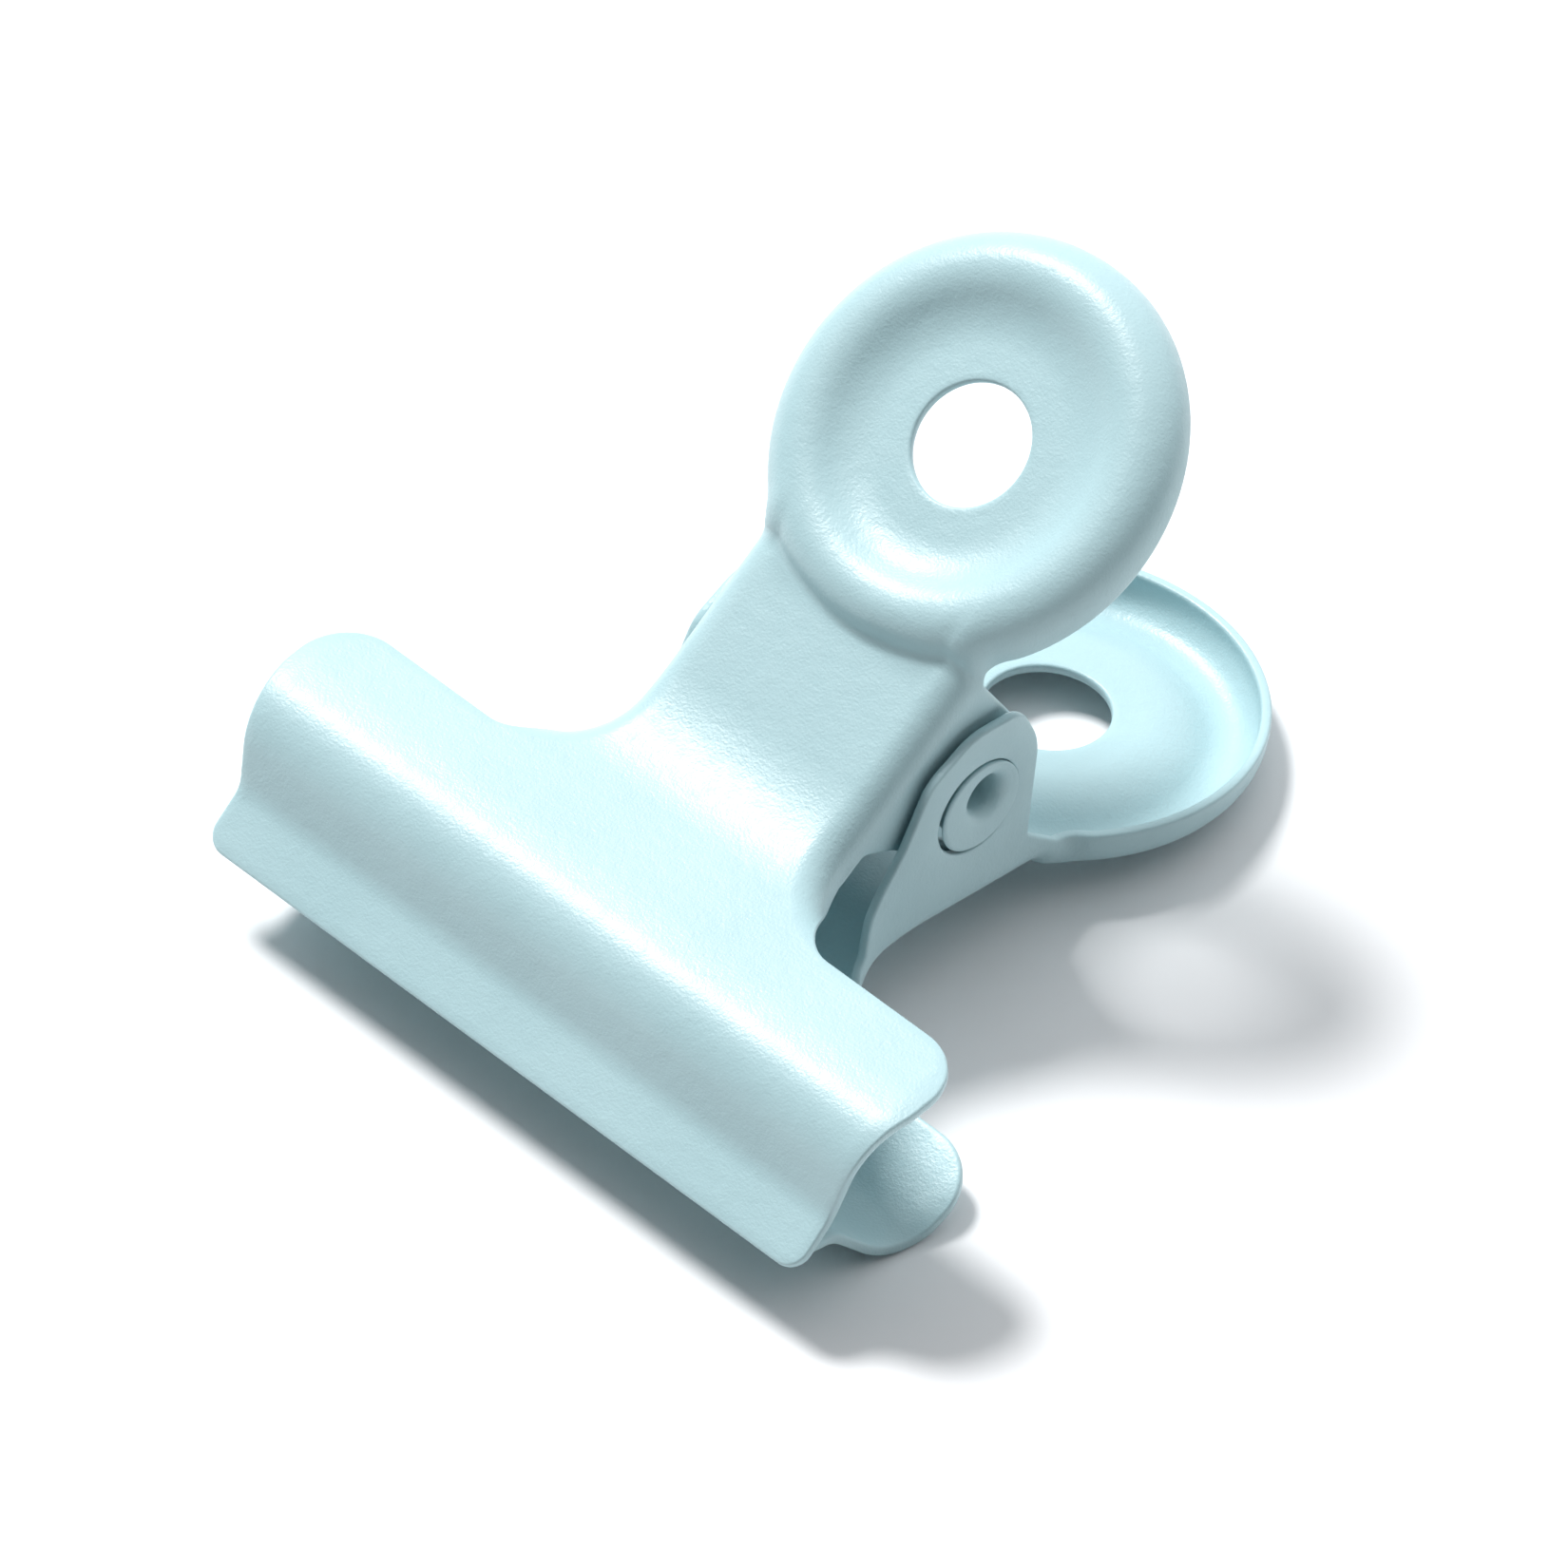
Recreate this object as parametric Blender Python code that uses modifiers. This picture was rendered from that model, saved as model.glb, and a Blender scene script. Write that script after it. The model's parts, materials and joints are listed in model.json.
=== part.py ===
"""A bulldog letter clip: two pressed steel plates, hinged on a hollow rivet and closed by a coil spring.

Each plate is a flat blank that is bent along one side profile (lip, valley, bulge, sloping handle), embossed
with a raised rim round its eye, and turned down along the edges of its handle into a rim wall and two pivot ears.

Clip coordinates: x runs across the jaws, "along" from the lips to the handles, and "height" away from the
middle plane that the two plates mirror in. World: +X across the jaws, +Y towards the handles, +Z up; the clip
lies on its lower plate, resting on that plate's bulge and on the far side of its rim.
"""

import math

import bmesh
import bpy
from mathutils import Matrix, Vector
from mathutils.geometry import delaunay_2d_cdt

MM = 0.001
QUARTER_TURN = math.pi / 2
TINY = 1e-6

# Sheet and overall size
SHEET = 0.40 * MM
UPPER_JAW_HALF_WIDTH = 16.1 * MM
LOWER_JAW_HALF_WIDTH = 15.15 * MM
LIP_NARROWING = 0.9 * MM
LOWER_JAW_SET_BACK = 0.45 * MM

# Side profile of a plate's outer face: corners (along, height) and the bend radius at each
LIP_TIP = (0.0 * MM, 0.52 * MM)
VALLEY = (2.15 * MM, 1.50 * MM)
BULGE = (4.00 * MM, 4.40 * MM)
CROWN = (6.60 * MM, 4.22 * MM)
VALLEY_BEND = 1.5 * MM
BULGE_BEND = 1.9 * MM
CROWN_BEND = 14.0 * MM
HANDLE_BEND = 9.0 * MM
CROWN_SLOPE = math.radians(-10.8)
HANDLE_SLOPE = math.radians(21.3)
HANDLE_HEIGHT_AT_EYE = 8.50 * MM
EYE_ALONG = 26.80 * MM

# Jaw outline
JAW_REAR_ALONG = 9.25 * MM
JAW_WIDEST_ALONG = 6.15 * MM
LIP_CORNER = 0.9 * MM
REAR_CORNER = 2.3 * MM
JAW_SIDE_BEND = 3.0 * MM
JAW_NECK_FILLET = 4.3 * MM
FOLD_SHARE_OF_FILLET = 0.8

# Eye, measured from the face of the neck
EYE_HOLE_RADIUS = 2.38 * MM
FLOOR_RADIUS = 3.60 * MM
CREST_RADIUS = 6.58 * MM
RIM_BEND = 1.60 * MM
FLOOR_RISE = 0.20 * MM
CREST_RISE = 1.05 * MM
DISH_TOP = 1.60 * MM
DISH_FOOT = 3.60 * MM
RIM_FLANK_TOP = 1.30 * MM
RIM_FLANK_FOOT = 0.50 * MM
FLANK_SPREAD = 0.25
SPREAD_BEGIN = 1.5 * MM
RIM_EDGE_DROP = 0.95 * MM
RIM_NECK_FILLET = 2.5 * MM

# Pivot and its ears
PIVOT_ALONG = 18.95 * MM
UPPER_HALF_WIDTH = 5.48 * MM
LOWER_HALF_WIDTH = 6.18 * MM
NECK_BEND = 1.25 * MM
EAR_FRONT_DROP = 0.35 * MM
UPPER_EAR = [(-4.9, 1.7, 0.9), (-3.4, -0.2, 2.0), (-3.1, -3.4, 2.6), (2.7, -3.5, 1.8), (3.1, 1.2, 2.0),
             (2.3, 4.2, 1.0)]
LOWER_EAR = [(-6.3, 0.6, 1.2), (-3.6, -1.3, 2.5), (-1.8, -3.2, 1.8), (0.6, -3.7, 2.4), (2.9, -2.8, 1.0),
             (3.1, -0.4, 4.0), (1.75, 3.9, 0.5)]
EAR_SKEW = 0.15

# Hollow rivet that is the hinge
SHANK_RADIUS = 1.40 * MM
BORE_RADIUS = 1.00 * MM
FLARE_RADIUS = 1.85 * MM
FLARE_HALF_LENGTH = 6.30 * MM
FLARE_DEPTH = 0.70 * MM
FLARE_ROUND = 0.20 * MM
UPPER_PIVOT_HOLE = 1.70 * MM
LOWER_PIVOT_HOLE = 2.12 * MM

# Torsion spring on the rivet
WIRE = 0.80 * MM
COIL_RADIUS = 2.20 * MM
COIL_PITCH = 1.10 * MM
COIL_TURNS = 4.0
LEG_REACH = 6.5 * MM
SPRING_GAP = 0.30 * MM

# Fineness of the faceted solids
TURN_STEP = math.radians(15.0)
LONGEST_STEP = 2.4 * MM
BEND_STEPS = 3
EAR_ROWS = 2
RIM_SEGMENTS = 24
RING_COUNT = 6
CLEAR = 0.30 * MM

PAINT = (0.62, 0.80, 0.84)
SPRING_STEEL = (0.45, 0.46, 0.48)


class Path:
    """Straight lines and arcs that follow on from each other, measured by the distance along them."""

    def __init__(self, start, heading):
        self.pieces = []
        self.length = 0.0
        self.end = (start[0], start[1], heading)

    def add(self, length, curvature=0.0):
        self.pieces.append((self.length, length, curvature, self.end))
        self.length += length
        self.end = self.at(self.length)
        return self

    def at(self, distance):
        """Place and heading at a distance along the path."""
        piece = self.pieces[0]
        for candidate in self.pieces:
            if candidate[0] <= distance:
                piece = candidate
        begun, _, curvature, (x, y, heading) = piece
        run = distance - begun
        if curvature == 0.0:
            return x + run * math.cos(heading), y + run * math.sin(heading), heading
        turned = heading + curvature * run
        x += (math.sin(turned) - math.sin(heading)) / curvature
        y -= (math.cos(turned) - math.cos(heading)) / curvature
        return x, y, turned

    def where(self, axis, value, low=0.0, high=None):
        """Distance between low and high at which a coordinate, which rises there, reaches a value."""
        high = self.length if high is None else high
        for _ in range(50):
            middle = (low + high) / 2
            if self.at(middle)[axis] < value:
                low = middle
            else:
                high = middle
        return high

    def stations(self, turn_step, longest):
        """Distances that split every piece into steps of a limited turn and length."""
        found = [0.0]
        for begun, length, curvature, _ in self.pieces:
            steps = max(abs(curvature) * length / turn_step, length / longest)
            count = max(1, math.ceil(steps - 0.01))
            found += [begun + length * (i + 1) / count for i in range(count)]
        return found


def rounded_path(corners):
    """A path through (x, y, radius) corners, each rounded by an arc; the two ends are not rounded."""
    points = [Vector(corner[:2]) for corner in corners]
    start_way = points[1] - points[0]
    path = Path(points[0], math.atan2(start_way.y, start_way.x))
    used = 0.0
    for before, corner, after, (_, _, radius) in zip(points, points[1:], points[2:], corners[1:]):
        way_in = corner - before
        way_out = after - corner
        turn = -way_in.angle_signed(way_out)
        cut = radius * math.tan(abs(turn) / 2)
        straight = way_in.length - used - cut
        if straight < 0:
            raise ValueError(f"the bends at {before} and {corner} leave no room for each other")
        path.add(straight)
        path.add(radius * abs(turn), math.copysign(1 / radius, turn))
        used = cut
    path.add((points[-1] - points[-2]).length - used)
    return path


def smooth(value):
    value = min(1.0, max(0.0, value))
    return value * value * (3 - 2 * value)


def handle_meets_crown(crown):
    """Corner where the line falling from the crown meets the line of the handle."""
    fall = math.tan(CROWN_SLOPE)
    rise = math.tan(HANDLE_SLOPE)
    handle_at_zero = HANDLE_HEIGHT_AT_EYE - rise * EYE_ALONG
    along = (handle_at_zero - crown[1] + fall * crown[0]) / (fall - rise)
    return along, crown[1] + fall * (along - crown[0])


def side_profile(set_back):
    """Outer face of a plate, seen from the side; its jaw may sit a little nearer to the pivot."""
    crown = (CROWN[0] + set_back, CROWN[1])
    waist = handle_meets_crown(crown)
    reach = EYE_ALONG + 12 * MM
    far_end = (reach, HANDLE_HEIGHT_AT_EYE + (reach - EYE_ALONG) * math.tan(HANDLE_SLOPE))
    return rounded_path([
        (LIP_TIP[0] + set_back, LIP_TIP[1], 0.0),
        (VALLEY[0] + set_back, VALLEY[1], VALLEY_BEND),
        (BULGE[0] + set_back, BULGE[1], BULGE_BEND),
        (*crown, CROWN_BEND),
        (*waist, HANDLE_BEND),
        (*far_end, 0.0)])


def two_arcs(distance, height, top_radius, foot_radius):
    """Height left on a flank that falls away by a rounded top and a hollow foot."""
    turn = math.acos(1 - height / (top_radius + foot_radius))
    if distance < top_radius * math.sin(turn):
        return height - top_radius + math.sqrt(top_radius ** 2 - distance ** 2)
    short = max(0.0, (top_radius + foot_radius) * math.sin(turn) - distance)
    return foot_radius - math.sqrt(foot_radius ** 2 - short ** 2)


def flank_width():
    radii = RIM_FLANK_TOP + RIM_FLANK_FOOT
    return radii * math.sin(math.acos(1 - CREST_RISE / radii))


class Plate:
    """The right half of one plate, in clip coordinates with its outer face up and the pivot at the origin."""

    def __init__(self, half_width, jaw_half_width, set_back, ear):
        self.neck_half_width = half_width - NECK_BEND
        self.jaw_half_width = jaw_half_width
        self.profile = side_profile(set_back)
        self.eye = self.profile.where(0, EYE_ALONG)
        self.jaw_rear = self.profile.where(0, JAW_REAR_ALONG)
        self.outline_jaw(set_back)
        self.outline_handle()
        start = self.edge_point(self.neck_begin)
        end = self.edge_point(self.neck_end)
        corners = [(x * MM, z * MM, radius * MM) for x, z, radius in ear]
        ear = rounded_path([(start.y, start.z, 0.0), *corners, (end.y, end.z, 0.0)])
        self.ear_edge = self.match_ear([ear.at(d)[:2] for d in ear.stations(TURN_STEP, LONGEST_STEP)])

    def outline_jaw(self, set_back):
        """Blank outline from the middle of the lip to the straight side of the neck."""
        lip_half_width = self.jaw_half_width - LIP_NARROWING
        self.outline = rounded_path([
            (0.0, 0.0, 0.0),
            (lip_half_width, 0.0, LIP_CORNER),
            (lip_half_width, self.profile.where(0, VALLEY[0] + set_back), JAW_SIDE_BEND),
            (self.jaw_half_width, self.profile.where(0, JAW_WIDEST_ALONG), JAW_SIDE_BEND),
            (self.jaw_half_width, self.jaw_rear, REAR_CORNER),
            (self.neck_half_width, self.jaw_rear, JAW_NECK_FILLET),
            (self.neck_half_width, self.fillet_centre()[1], 0.0)])
        begins = [piece[0] for piece in self.outline.pieces]
        lip_corner_end, rear_corner, fillet, neck = begins[2], begins[7], begins[9], begins[10]
        self.jaw_side = (lip_corner_end, rear_corner)
        self.fold_begin = fillet
        self.neck_begin = fillet + (neck - fillet) * FOLD_SHARE_OF_FILLET
        self.neck_end = self.outline.length

    def match_ear(self, places):
        """Place on the side of the neck from which each point of the ear's edge hangs."""
        travelled = [0.0]
        for (y, z), (next_y, next_z) in zip(places, places[1:]):
            travelled.append(travelled[-1] + abs(next_y - y) + EAR_SKEW * abs(next_z - z))
        stretch = (self.neck_end - self.neck_begin) / travelled[-1]
        return {self.neck_begin + t * stretch: place for t, place in zip(travelled, places)}

    def fillet_centre(self):
        """Centre of the arc that joins the side of the neck to the circle of the rim's crest."""
        x = self.neck_half_width + RIM_NECK_FILLET
        reach = CREST_RADIUS + RIM_NECK_FILLET
        return x, self.eye - math.sqrt(reach * reach - x * x)

    def outline_handle(self):
        x, y = self.fillet_centre()
        turn = math.atan2(self.eye - y, x)
        self.outline.add(RIM_NECK_FILLET * turn, -1 / RIM_NECK_FILLET)
        self.rim_begin = self.outline.length
        self.outline.add(CREST_RADIUS * (math.pi / 2 + turn), 1 / CREST_RADIUS)

    def rise(self, x, y):
        """Height of the embossed eye above the plate's plain bent face."""
        radius = math.hypot(x, y - self.eye)
        if radius > CREST_RADIUS:
            spread = 1 + FLANK_SPREAD * smooth((x - SPREAD_BEGIN) / (self.neck_half_width - SPREAD_BEGIN))
            return two_arcs((radius - CREST_RADIUS) / spread, CREST_RISE, RIM_FLANK_TOP, RIM_FLANK_FOOT)
        depth = CREST_RISE - FLOOR_RISE
        return FLOOR_RISE + two_arcs(CREST_RADIUS - radius, depth, DISH_TOP, DISH_FOOT)

    def face_frame(self, y):
        """Place of the plain face, its direction along the profile and its outward normal."""
        along, height, slope = self.profile.at(y)
        place = Vector((0.0, along - PIVOT_ALONG, height))
        forward = Vector((0.0, math.cos(slope), math.sin(slope)))
        normal = Vector((0.0, -math.sin(slope), math.cos(slope)))
        return place, forward, normal

    def face_point(self, x, y):
        place, _, normal = self.face_frame(y)
        return place + Vector((x, 0.0, 0.0)) + normal * self.rise(x, y)

    def fold(self, distance):
        """How far the edge is turned down at a place on the outline: angle, radius and straight drop."""
        share = smooth((distance - self.fold_begin) / (self.neck_begin - self.fold_begin))
        if distance < self.neck_end:
            return QUARTER_TURN * share, NECK_BEND, EAR_FRONT_DROP * share
        turn = smooth((distance - self.neck_end) / (self.rim_begin - self.neck_end))
        radius = NECK_BEND + (RIM_BEND - NECK_BEND) * turn
        x, y, _ = self.outline.at(distance)
        return QUARTER_TURN, radius, self.rise(x, y) - radius + RIM_EDGE_DROP

    def folded(self, distance, turned, dropped):
        """Point on the turned-down edge after part of the bend and part of the straight drop."""
        x, y, heading = self.outline.at(distance)
        _, forward, normal = self.face_frame(y)
        outward = Vector((math.sin(heading), 0.0, 0.0)) - forward * math.cos(heading)
        angle, radius, drop = self.fold(distance)
        angle *= turned
        place = self.face_point(x, y) + (outward * math.sin(angle) - normal * (1 - math.cos(angle))) * radius
        return place + (outward * math.cos(angle) - normal * math.sin(angle)) * drop * dropped

    def edge_point(self, distance):
        return self.folded(distance, 1.0, 1.0)

    def strip(self, distance):
        """Points from the outline down to the free edge, at one place on the outline."""
        points = [self.folded(distance, (k + 1) / BEND_STEPS, 0.0) for k in range(BEND_STEPS)]
        free = self.edge_point(distance)
        if distance in self.ear_edge:
            free = Vector((points[-1].x, *self.ear_edge[distance]))
        points += [points[-1].lerp(free, (k + 1) / EAR_ROWS) for k in range(EAR_ROWS)]
        return points

    def row_places(self):
        """Distances along the profile at which rows of points run straight across the face."""
        neck = [self.outline.at(d)[1] for d in self.ear_edge]
        rim_foot = self.eye - CREST_RADIUS - flank_width()
        bends = [y for y in self.profile.stations(TURN_STEP, LONGEST_STEP) if CLEAR < y < neck[0]]
        return bends + thinned([y for y in neck if bends[-1] + CLEAR < y < rim_foot - CLEAR], CLEAR)

    def outline_distances(self):
        """Places of the outline's points; the sides of the jaw have one at each row of the face."""
        side_begin, side_end = self.jaw_side
        on_side = [self.outline.where(1, y, side_begin, side_end) for y in self.row_places()
                   if self.outline.at(side_begin)[1] < y < self.outline.at(side_end)[1]]
        steps = [d for d in self.outline.stations(TURN_STEP, LONGEST_STEP)
                 if not side_begin < d < side_end and not self.neck_begin - TINY < d < self.neck_end + TINY]
        return sorted(steps + on_side + list(self.ear_edge))

    def rows(self):
        """Rows of points on the face: straight rows across it, and rings round the eye."""
        rows = []
        for y in self.row_places():
            wide = y < self.jaw_rear - CLEAR
            reach = self.jaw_half_width - LIP_NARROWING if wide else self.neck_half_width
            count = 5 if wide else 2
            rows.append([(reach * i / count, y) for i in range(count + 1)])
        radii = [FLOOR_RADIUS + (CREST_RADIUS - FLOOR_RADIUS) * k / RING_COUNT for k in range(RING_COUNT + 1)]
        radii += [CREST_RADIUS + flank_width() * share for share in (0.4, 0.72, 1.0)]
        return rows + [self.ring(radius) for radius in radii]

    def ring(self, radius):
        """Half circle round the eye, from its near side to its far side."""
        turns = [math.pi * i / RIM_SEGMENTS for i in range(1, RIM_SEGMENTS)]
        side = [(radius * math.sin(t), self.eye - radius * math.cos(t)) for t in turns]
        return [(0.0, self.eye - radius), *side, (0.0, self.eye + radius)]

    def blank(self):
        """The flat blank cut into triangles: its points, its faces and where the outline's points went."""
        outline = [(max(0.0, x), y) for x, y, _ in map(self.outline.at, self.outline_distances())]
        outline[-1] = (0.0, outline[-1][1])
        hole = self.ring(EYE_HOLE_RADIUS)[::-1]
        rows = self.rows()
        middle = sorted({y for row in rows for x, y in row if x == 0.0}, reverse=True)
        far = [(0.0, y) for y in middle if hole[0][1] < y < outline[-1][1] - CLEAR]
        near = [(0.0, y) for y in middle if CLEAR < y < hole[-1][1]]
        border = outline + far + hole + near
        places = {point: i for i, point in enumerate(border)}
        bars = []
        for row in rows:
            last = None
            for point in row:
                if point not in places and clear_of(point, border, CLEAR):
                    places[point] = len(places)
                here = places.get(point)
                if here is not None and last is not None:
                    bars.append((last, here))
                last = here
        flat = [Vector(point) / MM for point in places]
        found, _, faces, origin, _, _ = delaunay_2d_cdt(flat, bars, [range(len(border))], 1, TINY)
        where = {source: i for i, sources in enumerate(origin) for source in sources}
        return [v * MM for v in found], faces, [where[i] for i in range(len(outline))]

    def mesh(self, name):
        """The half plate as an open surface with its edges turned down, open along the middle."""
        points, faces, outline = self.blank()
        shape = bmesh.new()
        verts = [shape.verts.new(self.face_point(*point)) for point in points]
        for face in faces:
            shape.faces.new([verts[i] for i in face])
        before = None
        for distance, i in zip(self.outline_distances(), outline):
            if distance < self.fold_begin:
                continue
            if before is None:
                before = [verts[i]] * (1 + BEND_STEPS + EAR_ROWS)
                continue
            column = [verts[i]] + [shape.verts.new(place) for place in self.strip(distance)]
            for a, b, c, d in zip(before, column, column[1:], before[1:]):
                shape.faces.new([a, d, c, b] if a is not d else [a, c, b])
            before = column
        for vert in column:
            vert.co.x = 0.0
        data = bpy.data.meshes.new(name)
        shape.to_mesh(data)
        shape.free()
        return data


def thinned(values, gap):
    """Values in order, without those closer than a gap to the one before."""
    kept = []
    for value in sorted(values):
        if not kept or value - kept[-1] > gap:
            kept.append(value)
    return kept


def clear_of(point, border, distance):
    """Whether a point lies inside a closed border and at least a distance from it."""
    x, y = point
    inside = False
    for (ax, ay), (bx, by) in zip(border, border[1:] + border[:1]):
        if (ay > y) != (by > y) and x < ax + (bx - ax) * (y - ay) / (by - ay):
            inside = not inside
        span = (bx - ax) ** 2 + (by - ay) ** 2
        share = min(1.0, max(0.0, ((x - ax) * (bx - ax) + (y - ay) * (by - ay)) / span))
        if math.dist(point, (ax + share * (bx - ax), ay + share * (by - ay))) < distance:
            return False
    return inside


def clear_scene():
    for item in list(bpy.data.objects):
        bpy.data.objects.remove(item, do_unlink=True)


def make_collection(name):
    collection = bpy.data.collections.new(name)
    bpy.context.scene.collection.children.link(collection)
    return collection


def make_material(name, colour, metallic, roughness):
    material = bpy.data.materials.new(name)
    material.use_nodes = True
    shader = material.node_tree.nodes["Principled BSDF"]
    shader.inputs["Base Color"].default_value = (*colour, 1.0)
    shader.inputs["Metallic"].default_value = metallic
    shader.inputs["Roughness"].default_value = roughness
    return material


def make_object(name, data, collection, parent, material=None):
    item = bpy.data.objects.new(name, data)
    collection.objects.link(item)
    item.parent = parent
    if material is not None:
        item.data.materials.append(material)
    return item


def shade_round(item):
    item.data.shade_smooth()
    item.data.set_sharp_from_angle(angle=math.radians(35))


def pivot_cutter(name, radius, collection, parent):
    """A rod along the hinge axis that cuts the pivot holes of one plate."""
    shape = bmesh.new()
    bmesh.ops.create_cone(
        shape, cap_ends=True, segments=20, radius1=radius, radius2=radius, depth=20 * MM,
        matrix=Matrix.Rotation(QUARTER_TURN, 4, "Y"))
    data = bpy.data.meshes.new(name)
    shape.to_mesh(data)
    shape.free()
    item = make_object(name, data, collection, parent)
    item.hide_render = True
    item.display_type = "WIRE"
    return item


def make_plate(name, plate, hole_radius, parts, cutters, parent, material, upside_down):
    """One plate: half an open surface, mirrored, thickened inwards and cut at the pivot."""
    data = plate.mesh(name)
    if upside_down:
        data.transform(Matrix.Scale(-1, 4, Vector((0, 0, 1))))
        data.flip_normals()
    item = make_object(name, data, parts, parent, material)
    mirror = item.modifiers.new("other_half", "MIRROR")
    mirror.merge_threshold = 0.00001
    thick = item.modifiers.new("sheet", "SOLIDIFY")
    thick.thickness = SHEET
    thick.offset = -1.0
    thick.use_even_offset = True
    cut = item.modifiers.new("pivot_holes", "BOOLEAN")
    cut.operation = "DIFFERENCE"
    cut.solver = "EXACT"
    cut.object = pivot_cutter(name + "_pivot_cutter", hole_radius, cutters, parent)
    shade_round(item)
    return item


def make_hinge_tube(parts, parent, material):
    """Hollow rivet: a profile turned about the hinge axis, its two ends flared like a trumpet."""
    waist = FLARE_HALF_LENGTH - FLARE_DEPTH
    mouth = FLARE_HALF_LENGTH - FLARE_ROUND
    outer = [(FLARE_RADIUS - FLARE_ROUND, FLARE_HALF_LENGTH), (FLARE_RADIUS, mouth), (SHANK_RADIUS, waist)]
    inner = [(BORE_RADIUS, waist), (BORE_RADIUS + FLARE_ROUND * 0.4, mouth),
             (BORE_RADIUS + FLARE_ROUND * 1.5, FLARE_HALF_LENGTH)]
    profile = outer + [(r, -x) for r, x in reversed(outer)] + [(r, -x) for r, x in reversed(inner)] + inner
    data = bpy.data.meshes.new("hinge_tube")
    edges = [(i, (i + 1) % len(profile)) for i in range(len(profile))]
    data.from_pydata([(radius, 0.0, x) for radius, x in profile], edges, [])
    item = make_object("hinge_tube", data, parts, parent, material)
    item.rotation_euler = (0.0, QUARTER_TURN, 0.0)
    turn = item.modifiers.new("turned", "SCREW")
    turn.axis = "Z"
    turn.steps = turn.render_steps = 24
    turn.use_merge_vertices = True
    turn.merge_threshold = 0.00001
    return item


def make_wire(name, points, parts, parent, material):
    """A round wire through the given points, with closed ends."""
    curve = bpy.data.curves.new(name, "CURVE")
    curve.dimensions = "3D"
    curve.bevel_depth = WIRE / 2
    curve.bevel_resolution = 2
    curve.use_fill_caps = True
    spline = curve.splines.new("POLY")
    spline.points.add(len(points) - 1)
    for target, point in zip(spline.points, points):
        target.co = (*point, 1.0)
    return make_object(name, curve, parts, parent, material)


def leg_angle():
    """Direction of a spring leg from the middle plane, so that its end lies under the face of a handle."""
    clearance = SHEET + WIRE / 2 + SPRING_GAP
    height_at_pivot = HANDLE_HEIGHT_AT_EYE - (EYE_ALONG - PIVOT_ALONG) * math.tan(HANDLE_SLOPE)
    pivot_depth = height_at_pivot * math.cos(HANDLE_SLOPE)
    return HANDLE_SLOPE + math.asin((pivot_depth - clearance - COIL_RADIUS) / LEG_REACH)


def spring_leg(x, side, gap):
    """A leg from the top of the coil (side 1) or its underside (side -1) out towards a handle."""
    lean = leg_angle()
    along = Vector((0.0, math.cos(lean), math.sin(lean) * side))
    foot = Vector((x, -math.sin(lean) * COIL_RADIUS, math.cos(lean) * COIL_RADIUS * side))
    return [foot + along * reach for reach in (gap, LEG_REACH * 0.5, LEG_REACH)]


def make_spring(parts, lower_body, upper_body, material):
    """The coil with its lower leg, and the upper leg apart, because that end turns with the upper plate."""
    lean = leg_angle()
    points = spring_leg(-COIL_PITCH * COIL_TURNS / 2, -1, 0.0)[::-1]
    sweep = math.tau * COIL_TURNS - 2 * (QUARTER_TURN + lean)
    count = round(sweep / math.tau * 14)
    start = -(QUARTER_TURN + lean)
    for i in range(1, count):
        angle = start - sweep * i / count
        x = COIL_PITCH * COIL_TURNS * (i / count - 0.5)
        points.append(Vector((x, math.cos(angle) * COIL_RADIUS, math.sin(angle) * COIL_RADIUS)))
    make_wire("torsion_spring", points, parts, lower_body, material)
    make_wire("torsion_spring_upper_leg", spring_leg(COIL_PITCH * COIL_TURNS / 2, 1, SPRING_GAP), parts,
              upper_body, material)


def rest_tilt(plate):
    """Tilt and pivot height at which the lower plate's bulge and the far side of its rim touch the ground."""
    bulge_start = [piece for piece in plate.profile.pieces if piece[2] < 0][0]
    along, height, slope = plate.profile.at(bulge_start[0])
    bulge = Vector((along + math.sin(slope) * BULGE_BEND, -(height - math.cos(slope) * BULGE_BEND)))
    place, forward, normal = plate.face_frame(plate.eye)
    rim_centre = place + forward * CREST_RADIUS + normal * (CREST_RISE - RIM_BEND)
    rim = Vector((rim_centre.y + PIVOT_ALONG, -rim_centre.z))
    span = rim - bulge
    tilt = math.asin((RIM_BEND - BULGE_BEND) / span.length) - math.atan2(span.y, span.x)
    pivot = Vector((PIVOT_ALONG, 0.0)) - bulge
    return tilt, BULGE_BEND + pivot.x * math.sin(tilt) + pivot.y * math.cos(tilt)


def centre_on_ground(base, parts):
    """Slide the whole clip along Y so that the box of its parts is centred on the origin."""
    bpy.context.view_layer.update()
    graph = bpy.context.evaluated_depsgraph_get()
    ends = []
    for item in parts.objects:
        evaluated = item.evaluated_get(graph)
        shape = evaluated.to_mesh()
        ends += [(evaluated.matrix_world @ vertex.co).y for vertex in shape.vertices]
        evaluated.to_mesh_clear()
    base.location.y -= (min(ends) + max(ends)) / 2


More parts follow.
